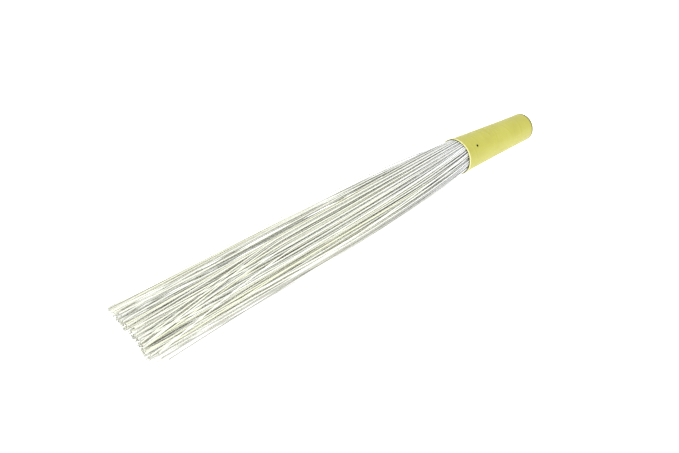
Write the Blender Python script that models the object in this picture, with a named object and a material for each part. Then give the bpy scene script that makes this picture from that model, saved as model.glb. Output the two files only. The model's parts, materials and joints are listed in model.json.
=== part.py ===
"""A bundle brush for drums, lying on a flat surface.

A short yellow vinyl grip holds a bundle of thin, straight, springy wires. The wires leave the grip's
mouth in a round bundle and open into a wide, low fan. +X points to the closed end of the grip, -X to
the wire tips, +Z up. The origin is on the surface, below the middle of the brush.
"""

import math

import bmesh
import bpy
from mathutils import Matrix, Vector

# Overall size, in metres
TOTAL_LENGTH = 0.370
SURFACE_CLEARANCE = 0.00005
FIT_GAP = 0.0003
EMPTY_SIZE = 0.02

# Grip sleeve: a moulded vinyl cup with a thin flared lip and a closed, flat end
SLEEVE_LENGTH = 0.0857
MOUTH_RADIUS = 0.01385
END_RADIUS = 0.01115
TAPER_POWER = 1.25
LIP_FLARE = 0.00035
FLARE_REACH = 0.0025
SLEEVE_WALL = 0.0008
LIP_CHAMFER = 0.0003
LIP_CHAMFER_DEPTH = 0.0012
END_THICKNESS = 0.0015
END_FILLET = 0.0010
END_FILLET_STEPS = 3
SLEEVE_STATIONS = (0, 0.0015, 0.004, 0.009, 0.018, 0.030, 0.045, 0.060, 0.075)
ROUND_SIDES = 36
ROUND_STATIONS = 5
SHARP_ANGLE = math.radians(35)

# What the sleeve is pulled over
ROOT_RECESS = 0.0031
FERRULE_WALL = 0.0008
FERRULE_LENGTH = 0.027
POTTING_LENGTH = 0.019
SPIGOT_CLEARANCE = 0.0006

# Pin that fixes the sleeve to the ferrule, on the side of the grip
PIN_FROM_MOUTH = 0.01295
PIN_ANGLE = math.radians(47.5)
PIN_HEAD_RADIUS = 0.00095
PIN_HEAD_HEIGHT = 0.0005
PIN_DOME_RADIUS = 0.00075
PIN_DOME_HEIGHT = 0.00025
PIN_SHAFT_RADIUS = 0.00045
PIN_SHAFT_LENGTH = 0.0065
PIN_POINT_LENGTH = 0.0010
PIN_SIDES = 16
PIN_HOLE_START = -0.002

# Tufts: wires that are set together in one bead at the mouth, beads in a hexagonal pattern
TUFT_PITCH = 0.0050
ROW_PITCH = TUFT_PITCH * math.sqrt(3) / 2
BEAD_RADIUS = 0.0023
BEAD_SUBDIVISIONS = 2
BEAD_INSET = 0.0005
TUFT_ROWS = (("top", 3), ("upper", 4), ("middle", 5), ("lower", 4), ("bottom", 3))

# Wires: two staggered layers in each tuft at the mouth, which merge into one layer at the tips
WIRE_DIAMETER = 0.00085
TUFT_WIRES = 9
ROOT_WIRE_PITCH = 0.0008
ROOT_LAYER_PITCH = 0.0013
WIRE_STATIONS = (0.0, 0.08, 0.2, 0.45, 1.0)

# Fan of wires: rows of tips over each other, the outer rows narrower
FAN_HALF_WIDTH = 0.0306
FAN_ROW_STEP = 0.0017
FAN_ROUNDNESS = 0.75
FAN_SAG = 0.0005
EARLY_OPENING = 0.75
EARLY_OPENING_POWER = 4.5

# Cut of the tips: longest near the -Y side, with a shallow step towards +Y and a steep fall at the edge
TIP_FRONT = -0.0200
TIP_STEP = 0.0062
TIP_STEP_REACH = 0.018
TIP_FALL = 80.0
TIP_UNEVENNESS = 0.003
GOLDEN_SHARE = (math.sqrt(5) - 1) / 2

# Worked out from the sizes above
LIP_RADIUS = MOUTH_RADIUS + LIP_FLARE
END_REST = SLEEVE_LENGTH - END_FILLET
TILT = math.atan((LIP_RADIUS - END_RADIUS) / END_REST)
HANDLE_AXIS = Vector((math.cos(TILT), 0, -math.sin(TILT)))
HANDLE_UP = Vector((math.sin(TILT), 0, math.cos(TILT)))
END_REACH = SLEEVE_LENGTH * math.cos(TILT) + (END_RADIUS - END_FILLET) * math.sin(TILT)
MOUTH_CENTRE = Vector((TOTAL_LENGTH / 2 - END_REACH, 0, LIP_RADIUS * math.cos(TILT)))
TIP_X = -TOTAL_LENGTH / 2


def clear_scene():
    for obj in list(bpy.data.objects):
        bpy.data.objects.remove(obj)


def make_material(name, colour, roughness, metallic=0.0):
    material = bpy.data.materials.new(name)
    material.use_nodes = True
    shader = material.node_tree.nodes["Principled BSDF"]
    shader.inputs["Base Color"].default_value = (*colour, 1)
    shader.inputs["Roughness"].default_value = roughness
    shader.inputs["Metallic"].default_value = metallic
    return material


def make_empty(name, location=(0, 0, 0), parent=None):
    empty = bpy.data.objects.new(name, None)
    empty.empty_display_size = EMPTY_SIZE
    empty.location = location
    empty.parent = parent
    bpy.context.scene.collection.objects.link(empty)
    return empty


def make_object(name, mesh_builder, material=None, parent=None):
    mesh = bpy.data.meshes.new(name)
    bmesh.ops.recalc_face_normals(mesh_builder, faces=mesh_builder.faces)
    mesh_builder.to_mesh(mesh)
    mesh_builder.free()
    obj = bpy.data.objects.new(name, mesh)
    obj.parent = parent
    if material:
        mesh.materials.append(material)
    bpy.context.scene.collection.objects.link(obj)
    return obj


def shade_round(obj):
    obj.data.shade_smooth()
    obj.data.set_sharp_from_angle(angle=SHARP_ANGLE)


def hide_helper(obj):
    obj.hide_render = True
    obj.display_type = "WIRE"


def add_boolean(obj, helper, operation):
    hide_helper(helper)
    modifier = obj.modifiers.new(f"{operation.lower()}_{helper.name}", "BOOLEAN")
    modifier.operation = operation
    modifier.solver = "EXACT"
    modifier.object = helper


def turned(profile, sides=ROUND_SIDES, closed=False):
    """A mesh turned about the X axis from (x, radius) points. A radius of 0 is a single point.

    A closed profile goes round a ring-shaped section, and an open one starts and ends on the axis.
    """
    builder = bmesh.new()
    rings = []
    for x, radius in profile:
        count = sides if radius > 0 else 1
        angles = [2 * math.pi * i / sides - math.pi / 2 for i in range(count)]
        rings.append([builder.verts.new((x, radius * math.cos(a), radius * math.sin(a))) for a in angles])
    pairs = list(zip(rings, rings[1:]))
    if closed:
        pairs.append((rings[-1], rings[0]))
    for first, second in pairs:
        for i in range(sides):
            j = (i + 1) % sides
            corners = [first[i % len(first)], first[j % len(first)]]
            corners += [second[j % len(second)], second[i % len(second)]]
            builder.faces.new(list(dict.fromkeys(corners)))
    return builder


def sleeve_radius(x):
    """Outer radius of the sleeve, x metres from its mouth: a gentle taper with a small flare at the lip."""
    taper = (END_RADIUS - MOUTH_RADIUS) * (1 - (1 - x / END_REST) ** TAPER_POWER)
    return MOUTH_RADIUS + taper + LIP_FLARE * math.exp(-x / FLARE_REACH)


def inner_radius(x):
    return sleeve_radius(x) - SLEEVE_WALL


def spaced(start, end, count=ROUND_STATIONS):
    return [start + (end - start) * i / (count - 1) for i in range(count)]


def make_sleeve(material, parent):
    outer = [(x, sleeve_radius(x)) for x in SLEEVE_STATIONS]
    for angle in spaced(0, math.pi / 2, END_FILLET_STEPS + 1):
        radius = END_RADIUS - END_FILLET * (1 - math.cos(angle))
        outer.append((END_REST + END_FILLET * math.sin(angle), radius))
    floor_x = SLEEVE_LENGTH - END_THICKNESS
    inner_stations = SLEEVE_STATIONS[2::2] + (floor_x,)
    inner = [(x, inner_radius(x)) for x in reversed(inner_stations)]
    chamfer = [(x, inner_radius(x) + LIP_CHAMFER) for x in (LIP_CHAMFER_DEPTH, 0)]
    profile = [(floor_x, 0)] + inner + chamfer + outer + [(SLEEVE_LENGTH, 0)]
    obj = make_object("grip_sleeve", turned(profile), material, parent)
    shade_round(obj)
    return obj


def make_ferrule(material, parent):
    """Thin rigid cup wall that lines the mouth of the sleeve and holds the set wire roots."""
    start = ROOT_RECESS + FIT_GAP
    outer = [(x, inner_radius(x) - FIT_GAP) for x in spaced(start, start + FERRULE_LENGTH)]
    inner = [(x, radius - FERRULE_WALL) for x, radius in reversed(outer)]
    obj = make_object("ferrule_tube", turned(outer + inner, closed=True), material, parent)
    shade_round(obj)
    return obj


def ferrule_bore(x):
    return inner_radius(x) - FERRULE_WALL - 2 * FIT_GAP


def make_potting(material, parent):
    """Plug of hard resin that the wire roots are set in."""
    end = ROOT_RECESS + POTTING_LENGTH
    side = [(x, ferrule_bore(x)) for x in spaced(ROOT_RECESS, end, 3)]
    profile = [(ROOT_RECESS, 0)] + side + [(end, 0)]
    obj = make_object("root_potting", turned(profile), material, parent)
    shade_round(obj)
    return obj


def make_dowel(material, parent):
    """Tapered core that fills the grip behind the wires. Its spigot sits in the ferrule."""
    start = ROOT_RECESS + POTTING_LENGTH + FIT_GAP
    shoulder = ROOT_RECESS + FERRULE_LENGTH + 2 * FIT_GAP
    end = SLEEVE_LENGTH - END_THICKNESS - FIT_GAP
    spigot = ferrule_bore(shoulder) - SPIGOT_CLEARANCE
    profile = [(start, 0), (start, spigot), (shoulder, spigot)]
    profile += [(x, inner_radius(x) - FIT_GAP) for x in spaced(shoulder, end)]
    profile.append((end, 0))
    obj = make_object("core_dowel", turned(profile), material, parent)
    shade_round(obj)
    return obj


def pin_frame():
    """Axis of the pin: X runs inwards from the sleeve's surface, at an angle from the top of the grip."""
    outward = Vector((0, -math.sin(PIN_ANGLE), math.cos(PIN_ANGLE)))
    surface = Vector((PIN_FROM_MOUTH, 0, 0)) + outward * sleeve_radius(PIN_FROM_MOUTH)
    turn = Vector((1, 0, 0)).rotation_difference(-outward).to_matrix().to_4x4()
    return Matrix.Translation(surface) @ turn


def make_pin(material, parent):
    depth = PIN_HEAD_HEIGHT + PIN_SHAFT_LENGTH
    profile = [
        (-PIN_DOME_HEIGHT, 0),
        (-PIN_DOME_HEIGHT, PIN_DOME_RADIUS),
        (0, PIN_HEAD_RADIUS),
        (PIN_HEAD_HEIGHT, PIN_HEAD_RADIUS),
        (PIN_HEAD_HEIGHT, PIN_SHAFT_RADIUS),
        (depth - PIN_POINT_LENGTH, PIN_SHAFT_RADIUS),
        (depth, 0),
    ]
    builder = turned(profile, PIN_SIDES)
    builder.transform(pin_frame())
    obj = make_object("retaining_pin", builder, material, parent)
    shade_round(obj)
    return obj


def make_pin_hole(name, radius, parent):
    """Helper that cuts the hole that the pin goes through, a little deeper than the pin."""
    end = PIN_HEAD_HEIGHT + PIN_SHAFT_LENGTH + FIT_GAP
    profile = [(PIN_HOLE_START, 0), (PIN_HOLE_START, radius), (end, radius), (end, 0)]
    builder = turned(profile, PIN_SIDES)
    builder.transform(pin_frame())
    return make_object(name, builder, parent=parent)


def opening(share):
    """How far the bundle has opened into the fan at this share of its free length, from 0 to 1."""
    early = 1 - (1 - share) ** EARLY_OPENING_POWER
    return EARLY_OPENING * early + (1 - EARLY_OPENING) * share


def wire_path(root, tip):
    """Points along one wire. All wires share the same opening and sag, so they never cross."""
    points = []
    for share in WIRE_STATIONS:
        x = root.x + (tip.x - root.x) * share
        y = root.y + (tip.y - root.y) * opening(share)
        z = root.z + (tip.z - root.z) * share - FAN_SAG * 4 * share * (1 - share)
        points.append(Vector((x, y, z)))
    return points


def add_wire(builder, points):
    """One wire as a square rod with the same area as the round one."""
    half = WIRE_DIAMETER * math.sqrt(math.pi) / 4
    corners = [(-half, -half), (half, -half), (half, half), (-half, half)]
    rings = [[builder.verts.new(p + Vector((0, dy, dz))) for dy, dz in corners] for p in points]
    for first, second in zip(rings, rings[1:]):
        for i in range(4):
            j = (i + 1) % 4
            builder.faces.new((first[i], first[j], second[j], second[i]))
    builder.faces.new(rings[0])
    builder.faces.new(rings[-1])


def tuft_pivot(row, column, count):
    """Centre of a tuft's bead, in the mouth of the grip."""
    across = (column - (count - 1) / 2) * TUFT_PITCH
    up = (2 - row) * ROW_PITCH
    return MOUTH_CENTRE + HANDLE_AXIS * BEAD_INSET + HANDLE_UP * up + Vector((0, across, 0))


def wire_roots():
    """Where a tuft's wires start, from the middle of its bead: in turn in the upper and the lower layer."""
    roots = []
    for k in range(TUFT_WIRES):
        across = (k - (TUFT_WIRES - 1) / 2) * ROOT_WIRE_PITCH / 2
        up = ROOT_LAYER_PITCH / 2 if k % 2 == 0 else -ROOT_LAYER_PITCH / 2
        roots.append(Vector((0, across, up)))
    return roots


def tip_shortfall(number, across):
    """How far a wire ends short of the cut's furthest point. Each wire has its own small extra."""
    off = across - TIP_FRONT
    slant = TIP_STEP * (1 - math.exp(-off / TIP_STEP_REACH)) if off > 0 else TIP_FALL * off**2
    return slant + TIP_UNEVENNESS * ((number * GOLDEN_SHARE) % 1.0)


def wire_tips(row, column, count, first_number):
    """Tips of a tuft's wires, which are evenly spaced across the whole row."""
    middle_row = (len(TUFT_ROWS) - 1) / 2
    level = middle_row - row
    half_row = FAN_HALF_WIDTH * math.sqrt(1 - (FAN_ROUNDNESS * level / middle_row) ** 2) - WIRE_DIAMETER / 2
    up = SURFACE_CLEARANCE + WIRE_DIAMETER / 2 + (middle_row + level) * FAN_ROW_STEP
    tips = []
    for k in range(TUFT_WIRES):
        place = column * TUFT_WIRES + k
        across = half_row * (2 * place / (count * TUFT_WIRES - 1) - 1)
        tips.append(Vector((TIP_X + tip_shortfall(first_number + k, across), across, up)))
    return tips


def make_tuft(name, pivot, tips, material, parent):
    wires = bmesh.new()
    for root, tip in zip(wire_roots(), tips):
        add_wire(wires, wire_path(root, tip - pivot))
    bead = bmesh.new()
    bmesh.ops.create_icosphere(bead, subdivisions=BEAD_SUBDIVISIONS, radius=BEAD_RADIUS)
    tuft = make_object(name, bead, material, parent)
    tuft.location = pivot
    tuft.data.shade_smooth()
    helper = make_object(f"{name}_wires", wires, material, parent)
    helper.location = pivot
    add_boolean(tuft, helper, "UNION")


def make_tufts(material, parent):
    tufts = []
    for row, (row_name, count) in enumerate(TUFT_ROWS):
        for column in range(count):
            tips = wire_tips(row, column, count, len(tufts) * TUFT_WIRES)
            tufts.append((f"tuft_{row_name}_{column + 1}", tuft_pivot(row, column, count), tips))
    furthest = min(tip.x for _, _, tips in tufts for tip in tips)
    for name, pivot, tips in tufts:
        for tip in tips:
            tip.x += TIP_X - furthest
        make_tuft(name, pivot, tips, material, parent)


def main():
    clear_scene()
    vinyl = make_material("yellow_vinyl", (0.68, 0.66, 0.14), 0.42)
    nylon = make_material("clear_nylon_wire", (0.66, 0.67, 0.58), 0.35)
    aluminium = make_material("ferrule_aluminium", (0.60, 0.60, 0.61), 0.35, 1.0)
    resin = make_material("potting_resin", (0.56, 0.56, 0.53), 0.45)
    wood = make_material("dowel_wood", (0.62, 0.45, 0.26), 0.60)
    steel = make_material("dark_pin_steel", (0.03, 0.03, 0.03), 0.40, 1.0)

    brush = make_empty("brush")
    handle = make_empty("handle_axis", MOUTH_CENTRE, brush)
    handle.rotation_euler = (0, TILT, 0)

    sleeve = make_sleeve(vinyl, handle)
    ferrule = make_ferrule(aluminium, handle)
    potting = make_potting(resin, handle)
    make_dowel(wood, handle)
    make_pin(steel, handle)
    head_hole = make_pin_hole("pin_head_hole", PIN_HEAD_RADIUS + FIT_GAP, handle)
    shaft_hole = make_pin_hole("pin_shaft_hole", PIN_SHAFT_RADIUS + FIT_GAP, handle)
    add_boolean(sleeve, head_hole, "DIFFERENCE")
    add_boolean(ferrule, shaft_hole, "DIFFERENCE")
    add_boolean(potting, shaft_hole, "DIFFERENCE")
    make_tufts(nylon, brush)


main()
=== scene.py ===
"""Looks of the drum brush: a yellow vinyl grip and a fan of clear nylon wires on a white studio floor."""

import json
import math
import random

import bpy
from mathutils import Matrix, Vector


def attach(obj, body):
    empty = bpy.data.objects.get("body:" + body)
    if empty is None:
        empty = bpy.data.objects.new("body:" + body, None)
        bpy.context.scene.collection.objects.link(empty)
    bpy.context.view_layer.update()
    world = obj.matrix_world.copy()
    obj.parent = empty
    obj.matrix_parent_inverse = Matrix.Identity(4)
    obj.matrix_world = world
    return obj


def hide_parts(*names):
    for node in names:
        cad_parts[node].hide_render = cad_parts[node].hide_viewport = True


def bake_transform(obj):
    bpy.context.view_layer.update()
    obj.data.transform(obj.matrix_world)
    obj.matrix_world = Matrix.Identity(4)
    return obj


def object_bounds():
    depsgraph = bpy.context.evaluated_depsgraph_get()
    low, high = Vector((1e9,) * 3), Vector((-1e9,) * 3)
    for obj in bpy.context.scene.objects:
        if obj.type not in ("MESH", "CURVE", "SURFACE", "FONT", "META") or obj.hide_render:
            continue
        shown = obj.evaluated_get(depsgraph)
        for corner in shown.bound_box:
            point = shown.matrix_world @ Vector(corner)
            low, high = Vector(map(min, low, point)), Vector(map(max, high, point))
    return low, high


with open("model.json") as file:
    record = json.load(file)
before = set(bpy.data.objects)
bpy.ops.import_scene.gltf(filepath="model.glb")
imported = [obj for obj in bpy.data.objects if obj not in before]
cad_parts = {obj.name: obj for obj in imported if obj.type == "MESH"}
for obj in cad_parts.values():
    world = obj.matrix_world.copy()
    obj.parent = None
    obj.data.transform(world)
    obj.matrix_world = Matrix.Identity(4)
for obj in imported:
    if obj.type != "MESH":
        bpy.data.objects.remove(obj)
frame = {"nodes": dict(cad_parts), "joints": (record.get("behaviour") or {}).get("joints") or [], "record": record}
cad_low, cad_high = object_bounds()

SEED = 4127
TINY = 1e-6  # a length below this counts as none

# ---- The handle's own axes, from the CAD mount and joints ----
HINGE_DEPTH = 0.0005  # how far inside the mouth the hinges lie
PIVOTS = {joint["child"]: Vector(joint["pos_m"]) for joint in frame["joints"]}
END_MOUNT = next(mount for mount in frame["record"]["mounts"] if mount["name"] == "grip_end_face")
END_CENTRE = Vector(END_MOUNT["pos_m"])
AXIS = Vector(END_MOUNT["axis"]).normalized()
SIDE = Vector((0, 1, 0))
UP = AXIS.cross(SIDE)
MOUTH = sum(PIVOTS.values(), Vector()) / len(PIVOTS) - AXIS * HINGE_DEPTH
SLEEVE_LENGTH = (END_CENTRE - MOUTH).length
HANDLE = Matrix((AXIS, SIDE, UP)).transposed().to_4x4()
HANDLE.translation = MOUTH
TO_HANDLE = HANDLE.inverted()

# How much of a CAD piece is measured at once: the wire tips of a tuft, and a slice of the sleeve
CAD_TIP_REACH = 0.006
CAD_SLICE = 0.001

# ---- Sleeve ----
SLEEVE_WALL = 0.0008
END_THICKNESS = 0.0015
END_FILLET = 0.0010
TAPER_POWER = 1.25
LIP_FLARE = 0.00035
FLARE_REACH = 0.0025
LIP_CHAMFER = 0.0003
LIP_CHAMFER_DEPTH = 0.0012
LIP_ROUND = 0.0002
LIP_WAVE = 0.00022
LIP_RIPPLE = 0.00010
LIP_OUT_OF_ROUND = 0.006
LIP_WAVE_REACH = 0.004
SLEEVE_SIDES = 112
SLEEVE_RINGS = 260
INSIDE_RINGS = 15
FILLET_RINGS = 6
END_FACE_SHARES = (0.86, 0.7, 0.45, 0.2, 0.0)

# The paler rim reaches this far along the sleeve's outside and inside: partly the cut vinyl's own paler colour,
# partly a painted highlight on the lip and painted light in the shaded mouth
RIM_OUTSIDE = 0.0013
RIM_INSIDE = 0.006

# The painted shade on the closed end's rounded edge reaches this far along the sleeve, and inwards to this share
# of the radius
END_EDGE_SHADE_REACH = 2.5 * END_FILLET
END_EDGE_SHADE_INNER_SHARE = 0.8

# Creases across the upper side of the grip. Depths and ridges are measured by a crease's own width and depth
CREASE_COUNT = 44
CREASE_MARGIN = 0.006
CREASE_PEAK_SHARE = 0.35
CREASE_ANGLE = math.radians(95)
CREASE_ANGLE_SPREAD = math.radians(32)
CREASE_REACHES_IN_DEGREES = (12, 38)
CREASE_SLANT = 0.0014
CREASE_WIDTHS = (0.0004, 0.0013)
CREASE_DEPTHS = (0.03, 0.14)
CREASE_FADE = 0.004
CREASE_LAST_REACH = 2.5
CREASE_LAST_WIDTH = 4
RIDGE_HEIGHT = 0.7
RIDGE_PLACE = 1.7

# ---- Wires ----
WIRE_RADIUS = 0.00043
WIRE_SIDES = 8
WIRE_STATIONS = 38
STATION_CROWDING = 1.35
LOWEST_WIRE = 1.1 * WIRE_RADIUS
LOWEST_TIP = 1.15 * WIRE_RADIUS
SAG = 0.0005

# Roots: a grid of wires round each hinge, pushed outwards until the whole pattern fills the round mouth
BUNDLE_RADIUS = 0.0132
PATTERN_RADIUS = 0.0117
ROOT_GRID = 3
ROOT_PITCH_ACROSS = 0.00167
ROOT_PITCH_UP = 0.00144
ROOT_SCATTER = 0.00016
ROOT_SPREAD = 0.55
ROOT_DEPTH = 0.0033
ROOT_STATIONS = 3
ROOT_SHARE = 0.95
ROOT_CURVE = 2.5

# Opening of the bundle into the fan, which is a little narrower than the CAD tufts on its -Y and +Y sides
EARLY_OPENING = 0.79
EARLY_OPENING_POWER = 4.5
FAN_SHARE_NEAR = 0.93
FAN_SHARE_FAR = 0.95

# Cut of the tips: longest near the -Y side, with a shallow step towards +Y and a steep fall at the edge
TIP_FRONT = -0.0200
TIP_STEP = 0.0062
TIP_STEP_REACH = 0.018
TIP_FALL = 80.0

# Spread of the random draws for each wire's tip
TIP_LEAN = 0.0007
TIP_LIFT = 0.0003
TIP_SCATTER = 0.0006
TIP_SCATTER_ALONG = 0.0011

# Swing of the tips over their neighbours in the last third, smaller at the edges of the fan
LATE_SWING_START = 0.60
LATE_SWING_CURVE = 1.25
LATE_SWING = 0.0026
EDGE_SWING_SHARE = 0.3
FAN_EDGE = 0.016

# Tufts that swing as a whole: (middle of the tips before, half width, swing)
LATE_SWINGS = {
    "tuft_top_2": (-0.0010, 0.0070, -0.0150),
    "tuft_top_3": (0.0088, 0.0085, -0.0030),
    "tuft_top_1": (-0.0120, 0.0070, 0.0030),
}

# Stray wires at the edges of the fan: (tuft, which of its wires): (where its tip lies before, swing, tone)
STRAYS = {
    ("tuft_middle_1", 0): (-0.0268, -0.0034, 1.0),
    ("tuft_middle_1", 1): (-0.0262, -0.0022, 1.0),
    ("tuft_middle_1", 2): (-0.0258, 0.0, 0.3),
    ("tuft_middle_5", 7): (0.0288, 0.0, 0.1),
    ("tuft_middle_5", 8): (0.0301, 0.0, 0.9),
    ("tuft_upper_4", 8): (0.0295, 0.0, 0.3),
    ("tuft_lower_4", 8): (0.0281, 0.0, 0.5),
}

# Bows of the wires: a small and a large one that add up, or one faint bow for a stray wire
BOW_SIDE = 0.0016
BOW_WAVE = 0.0006
BOW_LIFT = 0.0005
BOW_PEAKS = (1.2, 2.4)
SMALL_BOW = 0.55
LARGE_BOW = 1.05
STRAY_BOW = 0.2

# Tones of the wires: 0 is greyish, 0.4 the palest, 0.8 greenish and 1 dark, a painted shade that gives lone stray
# wires the grey edges of clear nylon. Only strays go past the limit
TUFT_TONES = (0.33, 0.47)
TONE_DRIFT = 0.07
TONE_SCATTER = 0.24
TONE_LIMIT = 0.8

# ---- Studio and camera ----
FLOOR_REACH = 3
WORLD_STRENGTH = 1.3
SENSOR_MM = 36
LENS_MM = 42.57
CLIP_START = 0.01
CAMERA_TURN = math.radians(43.7)
CAMERA_DROP = math.radians(32.5)
CAMERA_DISTANCE = 0.5474
TARGET_FROM_MOUTH = 0.1144
TARGET_ACROSS = 0.0058


def cad_radius(node, x):
    """Largest distance from the handle's axis of a CAD node's points in a slice at x."""
    points = [TO_HANDLE @ vertex.co for vertex in frame["nodes"][node].data.vertices]
    return max(math.hypot(point.y, point.z) for point in points if abs(point.x - x) < CAD_SLICE)


BODY_END = SLEEVE_LENGTH - END_FILLET
LIP_RADIUS = cad_radius("grip_sleeve", 0)
END_RADIUS = cad_radius("grip_sleeve", BODY_END)
MOUTH_RADIUS = LIP_RADIUS - LIP_FLARE


def new_object(name, points, faces):
    mesh = bpy.data.meshes.new(name)
    mesh.from_pydata([tuple(point) for point in points], [], faces)
    mesh.validate()
    mesh.shade_smooth()
    obj = bpy.data.objects.new(name, mesh)
    bpy.context.scene.collection.objects.link(obj)
    return obj


def add_point_values(obj, name, values):
    layer = obj.data.attributes.new(name, "FLOAT", "POINT")
    layer.data.foreach_set("value", values)


# ---- Materials ----
class Nodes:
    """A material's node tree, with short calls to add and join nodes."""

    def __init__(self, name):
        self.material = bpy.data.materials.new(name)
        self.material.use_nodes = True
        self.tree = self.material.node_tree
        self.shader = self.tree.nodes["Principled BSDF"]

    def add(self, kind, **values):
        """A new node. A value that isn't one of the node's settings is for an input of that name."""
        node = self.tree.nodes.new(kind)
        for key, value in values.items():
            if hasattr(node, key):
                setattr(node, key, value)
            else:
                node.inputs[key.replace("_", " ")].default_value = value
        return node

    def feed(self, socket, value):
        """Joins an output to a socket, or gives the socket a plain value."""
        if isinstance(value, bpy.types.NodeSocket):
            self.tree.links.new(value, socket)
        else:
            socket.default_value = value

    def set(self, **values):
        """Feeds the shader's inputs."""
        for key, value in values.items():
            self.feed(self.shader.inputs[key.replace("_", " ")], value)

    def attribute(self, name):
        return self.add("ShaderNodeAttribute", attribute_name=name).outputs["Fac"]

    def noise(self, scale, detail, stretch=(1, 1, 1), roughness=0.5):
        """Noise in object coordinates, which are scaled by a different amount along each axis."""
        place = self.add("ShaderNodeTexCoord")
        mapping = self.add("ShaderNodeMapping", Scale=stretch)
        self.feed(mapping.inputs["Vector"], place.outputs["Object"])
        node = self.add("ShaderNodeTexNoise", Scale=scale, Detail=detail, Roughness=roughness)
        self.feed(node.inputs["Vector"], mapping.outputs["Vector"])
        return node.outputs["Fac"]

    def ramp(self, value, *stops):
        node = self.add("ShaderNodeValToRGB")
        elements = node.color_ramp.elements
        while len(elements) < len(stops):
            elements.new(0.5)
        for element, (position, colour) in zip(elements, stops):
            element.position = position
            element.color = (*colour, 1)
        self.feed(node.inputs["Fac"], value)
        return node.outputs["Color"]

    def grey_ramp(self, value, *stops):
        return self.ramp(value, *((position, (grey, grey, grey)) for position, grey in stops))

    def span(self, value, low, high):
        node = self.add("ShaderNodeMapRange", To_Min=low, To_Max=high)
        self.feed(node.inputs["Value"], value)
        return node.outputs["Result"]

    def mixed(self, kind, factor, first, second):
        """Two colours put together. Each of them, and the factor, is an output or a plain value."""
        node = self.add("ShaderNodeMix", data_type="RGBA", blend_type=kind)
        self.feed(node.inputs["Factor"], factor)
        self.feed(node.inputs["A"], first)
        self.feed(node.inputs["B"], second)
        return node.outputs["Result"]

    def bump(self, height, strength, distance):
        """Adds a bump on top of the shader's earlier ones."""
        node = self.add("ShaderNodeBump", Strength=strength, Distance=distance)
        self.feed(node.inputs["Height"], height)
        for link in self.shader.inputs["Normal"].links:
            self.feed(node.inputs["Normal"], link.from_socket)
        self.set(Normal=node.outputs["Normal"])


def mottled_material(name, noise, dark, light, roughness, bump, **settings):
    """A material whose colour, roughness and bump all follow one noise.

    noise holds the values for Nodes.noise, roughness its span, and bump its strength and distance.
    """
    nodes = Nodes(name)
    mottle = nodes.noise(*noise)
    nodes.set(Base_Color=nodes.ramp(mottle, (0.3, dark), (0.7, light)))
    nodes.set(Roughness=nodes.span(mottle, *roughness))
    nodes.bump(mottle, *bump)
    nodes.set(**settings)
    return nodes.material


def vinyl_material():
    """Cloudy yellow vinyl with faint rings and a fine grain, with painted shade on the closed end's rounded edge.
    """
    nodes = Nodes("yellow_vinyl_looks")
    colour = nodes.ramp(
        nodes.noise(55, 4),
        (0.30, (0.293, 0.277, 0.034)),
        (0.55, (0.313, 0.300, 0.039)),
        (0.80, (0.334, 0.323, 0.048)),
    )
    # Painted shade: the colour is darkened on the closed end's rounded edge.
    end_edge_shaded = nodes.mixed("MULTIPLY", nodes.attribute("painted_end_edge_shade"), colour, (0.34, 0.36, 0.40, 1))
    rings = nodes.noise(1, 5, (900, 60, 60), 0.6)
    nodes.set(Base_Color=end_edge_shaded, Roughness=nodes.span(rings, 0.34, 0.52))
    nodes.bump(rings, 0.3, 0.0002)
    nodes.bump(nodes.noise(2600, 2), 0.12, 0.00005)
    nodes.set(Subsurface_Weight=0.12, Subsurface_Scale=0.002, Subsurface_Radius=(1.0, 0.8, 0.25))
    nodes.set(Specular_IOR_Level=0.45, IOR=1.5)
    return nodes.material


def nylon_material():
    """Clear nylon: tinted by each wire's tone, cooler near the mouth, with painted shade on the wires' undersides
    that is strongest a little way out from the mouth.
    """
    nodes = Nodes("clear_nylon_looks")
    run = nodes.attribute("wire_run")
    tint = nodes.ramp(
        nodes.attribute("wire_tone"),
        (0.0, (0.58, 0.59, 0.55)),
        (0.16, (0.65, 0.655, 0.605)),
        (0.40, (0.67, 0.675, 0.615)),
        (0.8, (0.625, 0.635, 0.49)),
        # Painted shade: the dark end, used only by stray wires, stands in for the grey that clear wires show
        # against the white floor.
        (1.0, (0.36, 0.36, 0.33)),
    )
    near_mouth = nodes.grey_ramp(run, (0.02, 0.6), (0.35, 0))
    cooled = nodes.mixed("MIX", near_mouth, tint, (0.61, 0.62, 0.66, 1))
    along = nodes.noise(1, 3, (28, 900, 900))
    streaks = nodes.ramp(along, (0.25, (0.86, 0.86, 0.84)), (0.75, (1.0, 1.0, 1.0)))
    streaked = nodes.mixed("MULTIPLY", 1.0, cooled, streaks)
    # Painted shade: each wire's underside is darkened, most strongly a little way out from the mouth and least at
    # the mouth and the tips.
    underside_painted_shade = nodes.ramp(nodes.attribute("wire_height"), (0.35, (0.60, 0.60, 0.58)), (0.72, (1, 1, 1)))
    underside_shade_strength = nodes.grey_ramp(run, (0.03, 0.15), (0.12, 1), (0.24, 1), (0.42, 0.25))
    shaded = nodes.mixed("MULTIPLY", underside_shade_strength, streaked, underside_painted_shade)
    nodes.set(Base_Color=shaded, Roughness=nodes.span(along, 0.18, 0.34))
    nodes.bump(nodes.noise(1, 2, (60, 3000, 3000)), 0.06, 0.00004)
    nodes.set(IOR=1.53, Specular_IOR_Level=0.15)
    return nodes.material


# Painted light: paler yellow for the lip and the mouth's inside, partly the cut vinyl's own colour, partly a
# painted highlight and painted light in the mouth's shade.
def rim_colour_and_painted_light_material():
    return mottled_material(
        "vinyl_cut_edge_and_painted_light_looks",
        noise=(3000, 3),
        dark=(0.50, 0.49, 0.21),
        light=(0.58, 0.57, 0.27),
        roughness=(0.5, 0.7),
        bump=(0.3, 0.00006),
    )


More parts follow.
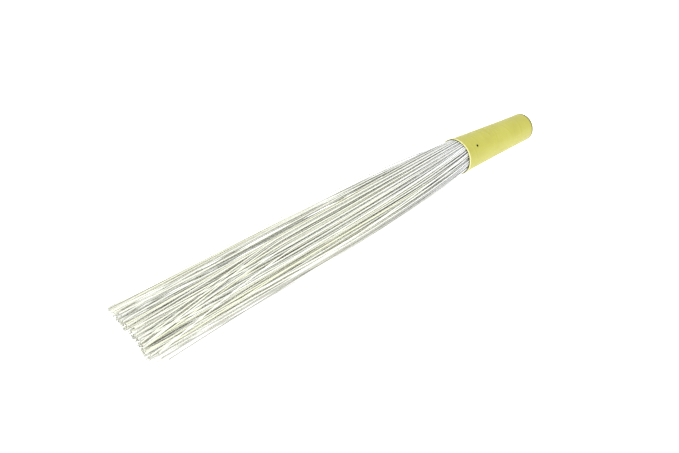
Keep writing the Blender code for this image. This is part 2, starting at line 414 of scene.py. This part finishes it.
# Painted shade: the cut ends of the wires are near-black, where clear nylon is pale.
def shaded_nylon_end_material():
    return mottled_material(
        "nylon_cut_end_painted_shade_looks",
        noise=(5200, 3),
        dark=(0.015, 0.015, 0.013),
        light=(0.06, 0.06, 0.05),
        roughness=(0.45, 0.7),
        bump=(0.3, 0.00008),
        Specular_IOR_Level=0.2,
    )


def resin_material():
    return mottled_material(
        "potting_resin_looks",
        noise=(420, 5),
        dark=(0.50, 0.50, 0.47),
        light=(0.62, 0.62, 0.58),
        roughness=(0.25, 0.5),
        bump=(0.4, 0.0002),
    )


def ferrule_material():
    return mottled_material(
        "ferrule_looks",
        noise=(1, 4, (60, 2500, 2500)),
        dark=(0.50, 0.50, 0.51),
        light=(0.68, 0.68, 0.69),
        roughness=(0.25, 0.45),
        bump=(0.2, 0.00005),
        Metallic=1.0,
    )


def pin_material():
    return mottled_material(
        "black_pin_looks",
        noise=(4200, 3),
        dark=(0.003, 0.003, 0.003),
        light=(0.009, 0.009, 0.008),
        roughness=(0.55, 0.8),
        bump=(0.2, 0.00004),
        Specular_IOR_Level=0.08,
    )


def wood_material():
    return mottled_material(
        "dowel_wood_looks",
        noise=(1, 6, (45, 900, 900), 0.65),
        dark=(0.42, 0.27, 0.13),
        light=(0.68, 0.50, 0.30),
        roughness=(0.5, 0.75),
        bump=(0.35, 0.0001),
    )


def floor_material():
    nodes = Nodes("studio_floor_looks")
    nodes.set(Base_Color=nodes.grey_ramp(nodes.noise(9, 4), (0.3, 0.55), (0.7, 0.57)), Roughness=0.9)
    nodes.set(Specular_IOR_Level=0.1, Emission_Strength=1.1, Emission_Color=(1, 1, 1, 1))
    return nodes.material


# ---- Sleeve ----
def make_creases(rng):
    """Fine cross creases on the upper side of the grip: (x, angle, reach, slant, depth, width)."""
    creases = []
    for _ in range(CREASE_COUNT):
        x = rng.triangular(CREASE_MARGIN, SLEEVE_LENGTH - CREASE_MARGIN, CREASE_PEAK_SHARE * SLEEVE_LENGTH)
        angle = rng.gauss(CREASE_ANGLE, CREASE_ANGLE_SPREAD)
        reach = math.radians(rng.uniform(*CREASE_REACHES_IN_DEGREES))
        slant = rng.gauss(0, CREASE_SLANT)
        width = rng.uniform(*CREASE_WIDTHS)
        depth = width * rng.uniform(*CREASE_DEPTHS)
        creases.append((x, angle, reach, slant, depth, width))
    return creases


def crease_height(creases, x, angle):
    """Height of the creased surface: each crease is a groove with a raised edge beside it."""
    height = 0.0
    for crease_x, crease_angle, reach, slant, depth, width in creases:
        turn = (angle - crease_angle + math.pi) % (2 * math.pi) - math.pi
        off = (x - crease_x - slant * turn / reach) / width
        if abs(turn) > CREASE_LAST_REACH * reach or abs(off) > CREASE_LAST_WIDTH:
            continue
        groove = math.exp(-off * off) - RIDGE_HEIGHT * math.exp(-((off - RIDGE_PLACE) ** 2))
        height -= depth * groove * math.exp(-((turn / reach) ** 2))
    return height


def sleeve_radius(x):
    share = max(0.0, 1 - x / BODY_END)
    taper = (END_RADIUS - MOUTH_RADIUS) * (1 - share**TAPER_POWER)
    return MOUTH_RADIUS + taper + LIP_FLARE * math.exp(-x / FLARE_REACH)


def sleeve_profile():
    """(x, radius, weight of the creases) from the inner floor, out round the lip, to the end face."""
    floor_x = SLEEVE_LENGTH - END_THICKNESS
    rows = [(floor_x, 0.0, 0.0)]
    for i in range(INSIDE_RINGS, 0, -1):
        x = floor_x * i / INSIDE_RINGS
        rows.append((x, sleeve_radius(x) - SLEEVE_WALL, 0.0))
    lip_inner = LIP_RADIUS - SLEEVE_WALL
    rows.append((LIP_CHAMFER_DEPTH, lip_inner, 0.0))
    rows.append((LIP_ROUND, lip_inner + 0.6 * LIP_CHAMFER, 0.0))
    rows.append((0.0, lip_inner + LIP_CHAMFER, 0.0))
    rows.append((0.0, LIP_RADIUS - LIP_ROUND, 0.0))
    rows.append((0.4 * LIP_ROUND, LIP_RADIUS - 0.3 * LIP_ROUND, 0.0))
    body_start = 2 * LIP_ROUND
    for i in range(SLEEVE_RINGS + 1):
        x = body_start + (BODY_END - body_start) * i / SLEEVE_RINGS
        weight = min(1.0, x / CREASE_FADE, (BODY_END - x) / CREASE_FADE)
        rows.append((x, sleeve_radius(x), max(0.0, weight)))
    for i in range(1, FILLET_RINGS + 1):
        angle = math.pi / 2 * i / FILLET_RINGS
        x = BODY_END + END_FILLET * math.sin(angle)
        rows.append((x, END_RADIUS - END_FILLET + END_FILLET * math.cos(angle), 0.0))
    rows += [(SLEEVE_LENGTH, END_RADIUS * share, 0.0) for share in END_FACE_SHARES]
    return rows


def sleeve_point(x, radius, weight, angle, creases):
    """A point of the sleeve. Its lip is slightly wavy and out of round, as soft vinyl is."""
    near_lip = math.exp(-x / LIP_WAVE_REACH)
    wave = LIP_WAVE * (1 + math.sin(2 * angle + 0.6)) + LIP_RIPPLE * math.sin(5 * angle + 2.0)
    outer = radius * (1 + LIP_OUT_OF_ROUND * near_lip * math.sin(2 * angle + 0.9))
    if weight > 0:
        outer += weight * crease_height(creases, x, angle)
    return HANDLE @ Vector((x + wave * near_lip, outer * math.cos(angle), outer * math.sin(angle)))


def make_sleeve(materials, rng):
    """A closed skin of rings, one for each row of the profile. Its rim is paler, partly the cut vinyl's colour and
    partly painted light.
    """
    creases = make_creases(rng)
    rows = sleeve_profile()
    points, rings, end_edge_shade_values = [], [], []
    for x, radius, weight in rows:
        count = SLEEVE_SIDES if radius > 0 else 1
        rings.append([len(points) + k for k in range(count)])
        angles = [2 * math.pi * k / SLEEVE_SIDES for k in range(count)]
        points += [sleeve_point(x, radius, weight, angle, creases) for angle in angles]
        # Painted shade on the closed end's rounded edge: these points get the darkening mask.
        end_edge_shaded = x > SLEEVE_LENGTH - END_EDGE_SHADE_REACH and radius > END_EDGE_SHADE_INNER_SHARE * END_RADIUS
        end_edge_shade_values += [1.0 if end_edge_shaded else 0.0] * count
    faces, rim_faces = [], []
    for i, (first, second) in enumerate(zip(rings, rings[1:])):
        # Painted light: the lip, the first of the outside and the mouth's inside get the paler rim colour.
        on_rim = rows[i][0] < RIM_INSIDE and rows[i + 1][0] < RIM_OUTSIDE
        for k in range(SLEEVE_SIDES):
            j = (k + 1) % SLEEVE_SIDES
            near, far = len(first), len(second)
            corners = [first[k % near], second[k % far], second[j % far], first[j % near]]
            if on_rim:
                rim_faces.append(len(faces))
            faces.append(tuple(dict.fromkeys(corners)))
    sleeve = new_object("vinyl_grip", points, faces)
    for material in materials:
        sleeve.data.materials.append(material)
    for index in rim_faces:
        sleeve.data.polygons[index].material_index = 1
    add_point_values(sleeve, "painted_end_edge_shade", end_edge_shade_values)
    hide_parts("grip_sleeve")
    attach(sleeve, "handle")


# ---- Wires ----
def hexagon_to_circle(across, up):
    """Moves a point of the hexagonal tuft pattern outwards, so that the pattern's edge is round."""
    length = math.hypot(across, up)
    if length < TINY:
        return across, up
    reaches = []
    for k in range(3):
        normal = math.radians(30 + 60 * k)
        reaches.append(abs(across * math.cos(normal) + up * math.sin(normal)))
    corner = max(reaches) / math.cos(math.radians(30))
    scale = corner / length
    return across * scale, up * scale


def mouth_points(pivot, rng):
    """Where a tuft's wires pass the mouth, as (across, up) from its centre."""
    offset = TO_HANDLE @ pivot
    limit = BUNDLE_RADIUS - WIRE_RADIUS
    middle = (ROOT_GRID - 1) / 2
    points = []
    for column in range(ROOT_GRID):
        for row in range(ROOT_GRID):
            across = offset.y + (column - middle) * ROOT_PITCH_ACROSS + rng.gauss(0, ROOT_SCATTER)
            up = offset.z + (row - middle) * ROOT_PITCH_UP + rng.gauss(0, ROOT_SCATTER)
            across, up = hexagon_to_circle(across, up)
            length = max(math.hypot(across, up), TINY)
            reach = limit * min(1.0, length / PATTERN_RADIUS) ** ROOT_SPREAD
            points.append((across * reach / length, up * reach / length))
    return points


def tip_patch(node):
    """(centre, half width) of the wire tips of a CAD tuft."""
    places = [vertex.co for vertex in frame["nodes"][node].data.vertices]
    front = min(place.x for place in places)
    tips = [place for place in places if place.x < front + CAD_TIP_REACH]
    ys = [place.y for place in tips]
    zs = [place.z for place in tips]
    centre = Vector((front, (min(ys) + max(ys)) / 2, (min(zs) + max(zs)) / 2))
    return centre, (max(ys) - min(ys)) / 2


def tip_x(y):
    """Where the cut ends a wire whose tip lies at y."""
    off = y - TIP_FRONT
    if off > 0:
        return cad_low.x + TIP_STEP * (1 - math.exp(-off / TIP_STEP_REACH))
    return cad_low.x + TIP_FALL * off * off


def wire_tips(node, count, rng):
    """(tip, late swing) of a tuft's wires, side by side."""
    centre, half_width = tip_patch(node)
    middle = centre.y * (FAN_SHARE_FAR if centre.y > 0 else FAN_SHARE_NEAR)
    tuft_swing = 0.0
    if node in LATE_SWINGS:
        middle, half_width, tuft_swing = LATE_SWINGS[node]
    swing_share = 1 if abs(middle) < FAN_EDGE else EDGE_SWING_SHARE
    tips = []
    for k in range(count):
        lean = rng.gauss(0, TIP_LEAN)
        lift = rng.gauss(0, TIP_LIFT)
        swing = tuft_swing + rng.gauss(0, LATE_SWING) * swing_share
        y = middle + ((k + 0.5) / count * 2 - 1) * half_width + lean + rng.gauss(0, TIP_SCATTER)
        y, swing, _ = STRAYS.get((node, k), (y, swing, None))
        z = max(LOWEST_TIP, centre.z + lift + rng.gauss(0, TIP_SCATTER))
        x = tip_x(y + swing) + abs(rng.gauss(0, TIP_SCATTER_ALONG))
        tips.append((Vector((x, y, z)), swing))
    return tips


class Bow:
    """How a wire bows sideways and up between its two ends."""

    def __init__(self, rng, scale):
        self.side = rng.gauss(0, BOW_SIDE * scale)
        self.wave = rng.gauss(0, BOW_WAVE * scale)
        self.lift = rng.gauss(0, BOW_LIFT * scale)
        self.peak = rng.uniform(*BOW_PEAKS)

    def at(self, share):
        hump = math.sin(math.pi * share**self.peak)
        side = self.side * hump + self.wave * math.sin(2 * math.pi * share * share)
        return Vector((0, side, self.lift * hump))


def opening(share):
    """How far the bundle has opened into the fan at this share of its free length, from 0 to 1."""
    early = 1 - (1 - share) ** EARLY_OPENING_POWER
    return EARLY_OPENING * early + (1 - EARLY_OPENING) * share


def wire_line(mouth_point, tip, swing, bows):
    """Points along one wire: straight out of its root, then opening into the fan with its bows."""
    across, up = mouth_point
    line = []
    for i in range(ROOT_STATIONS):
        inside = 1 - i / ROOT_STATIONS
        share = 1 - (1 - ROOT_SHARE) * inside**ROOT_CURVE
        line.append(HANDLE @ Vector((ROOT_DEPTH * inside, across * share, up * share)))
    root = HANDLE @ Vector((0, across, up))
    for i in range(WIRE_STATIONS + 1):
        share = (i / WIRE_STATIONS) ** STATION_CROWDING
        late = max(0.0, (share - LATE_SWING_START) / (1 - LATE_SWING_START))
        x = root.x + (tip.x - root.x) * share
        y = root.y + (tip.y - root.y) * opening(share) + swing * late**LATE_SWING_CURVE
        z = root.z + (tip.z - root.z) * share - SAG * 4 * share * (1 - share)
        place = Vector((x, y, z)) + sum((bow.at(share) for bow in bows), Vector())
        place.z = max(place.z, LOWEST_WIRE)
        line.append(place)
    return line


def add_tube(points, faces, end_faces, line, angles):
    """A round wire along a line that runs mostly towards -X, with an upright cut at its tip."""
    start = len(points)
    offsets = [Vector((0, math.cos(angle), math.sin(angle))) * WIRE_RADIUS for angle in angles]
    for place in line:
        points += [place + offset for offset in offsets]
    for i in range(len(line) - 1):
        a, b = start + i * WIRE_SIDES, start + (i + 1) * WIRE_SIDES
        for k in range(WIRE_SIDES):
            j = (k + 1) % WIRE_SIDES
            faces.append((a + k, a + j, b + j, b + k))
    last = start + (len(line) - 1) * WIRE_SIDES
    faces.append(tuple(start + k for k in reversed(range(WIRE_SIDES))))
    end_faces.append(len(faces))
    faces.append(tuple(last + k for k in range(WIRE_SIDES)))


def make_tuft(node, materials, rng):
    """The wires of one tuft. A point carries its wire's tone, its place along it and its height on it."""
    roots = mouth_points(PIVOTS[node], rng)
    tips = wire_tips(node, len(roots), rng)
    points, faces, end_faces, tones, runs, heights = [], [], [], [], [], []
    tuft_tone = rng.uniform(*TUFT_TONES)
    for k, (mouth_point, (tip, swing)) in enumerate(zip(roots, tips)):
        stray = STRAYS.get((node, k))
        small = Bow(rng, SMALL_BOW)
        tone = tuft_tone + rng.gauss(0, TONE_DRIFT)
        main = Bow(rng, STRAY_BOW if stray else LARGE_BOW)
        line = wire_line(mouth_point, tip, swing, (main,) if stray else (small, main))
        turn = rng.uniform(0, math.pi)
        angles = [turn + 2 * math.pi * side / WIRE_SIDES for side in range(WIRE_SIDES)]
        add_tube(points, faces, end_faces, line, angles)
        tone = min(TONE_LIMIT, max(0.0, tone + rng.gauss(0, TONE_SCATTER)))
        if stray:
            tone = stray[2]
        tones += [tone] * (WIRE_SIDES * len(line))
        # The height around each wire sets the painted shade on its underside.
        heights += [0.5 + 0.5 * math.sin(angle) for angle in angles] * len(line)
        for place in line:
            runs += [(MOUTH.x - place.x) / (MOUTH.x - cad_low.x)] * WIRE_SIDES
    tuft = new_object("wires_" + node, points, faces)
    for material in materials:
        tuft.data.materials.append(material)
    # The cut ends get the near-black painted shade.
    for index in end_faces:
        tuft.data.polygons[index].material_index = 1
        tuft.data.polygons[index].use_smooth = False
    add_point_values(tuft, "wire_tone", tones)
    add_point_values(tuft, "wire_run", runs)
    add_point_values(tuft, "wire_height", heights)
    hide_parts(node)
    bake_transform(tuft)


# ---- Studio ----
def make_floor():
    reach = FLOOR_REACH
    corners = [(-reach, -reach, 0), (reach, -reach, 0), (reach, reach, 0), (-reach, reach, 0)]
    floor = new_object("studio_floor", corners, [(0, 1, 2, 3)])
    floor.data.materials.append(floor_material())


def make_light(name, place, size, power):
    """A round softbox that shines at the middle of the brush."""
    data = bpy.data.lights.new(name, "AREA")
    data.shape = "DISK"
    data.size = size
    data.energy = power
    lamp = bpy.data.objects.new(name, data)
    lamp.location = place
    lamp.rotation_euler = (-Vector(place)).to_track_quat("-Z", "Y").to_euler()
    bpy.context.scene.collection.objects.link(lamp)


def make_studio():
    make_floor()
    make_light("key_softbox", place=(-0.3, -1.5, 0.6), size=0.9, power=14)
    make_light("top_softbox", place=(-0.6, 0.4, 1.5), size=0.8, power=12)
    world = bpy.data.worlds.new("studio_white")
    world.use_nodes = True
    background = world.node_tree.nodes["Background"]
    background.inputs["Color"].default_value = (1, 1, 1, 1)
    background.inputs["Strength"].default_value = WORLD_STRENGTH
    bpy.context.scene.world = world
    bpy.context.scene.view_settings.view_transform = "Standard"


def make_camera():
    """Looks at a point on the floor below the fan, which is placed from the mouth of the grip."""
    data = bpy.data.cameras.new("camera")
    data.sensor_width = SENSOR_MM
    data.lens = LENS_MM
    data.clip_start = CLIP_START
    camera = bpy.data.objects.new("camera", data)
    level = math.cos(CAMERA_DROP)
    look = Vector((math.sin(CAMERA_TURN) * level, math.cos(CAMERA_TURN) * level, -math.sin(CAMERA_DROP)))
    target = Vector((MOUTH.x - TARGET_FROM_MOUTH, TARGET_ACROSS, 0))
    camera.location = target - look * CAMERA_DISTANCE
    camera.rotation_euler = look.to_track_quat("-Z", "Y").to_euler()
    bpy.context.scene.collection.objects.link(camera)
    bpy.context.scene.camera = camera


def dress(node, material):
    """Gives a CAD piece that stays as it is its looks."""
    obj = frame["nodes"][node]
    obj.data.materials.clear()
    obj.data.materials.append(material)


rng = random.Random(SEED)
make_sleeve((vinyl_material(), rim_colour_and_painted_light_material()), rng)
wire_materials = (nylon_material(), shaded_nylon_end_material())
for name in sorted(PIVOTS):
    make_tuft(name, wire_materials, rng)
dress("root_potting", resin_material())
dress("core_dowel", wood_material())
dress("ferrule_tube", ferrule_material())
dress("retaining_pin", pin_material())
make_studio()
make_camera()
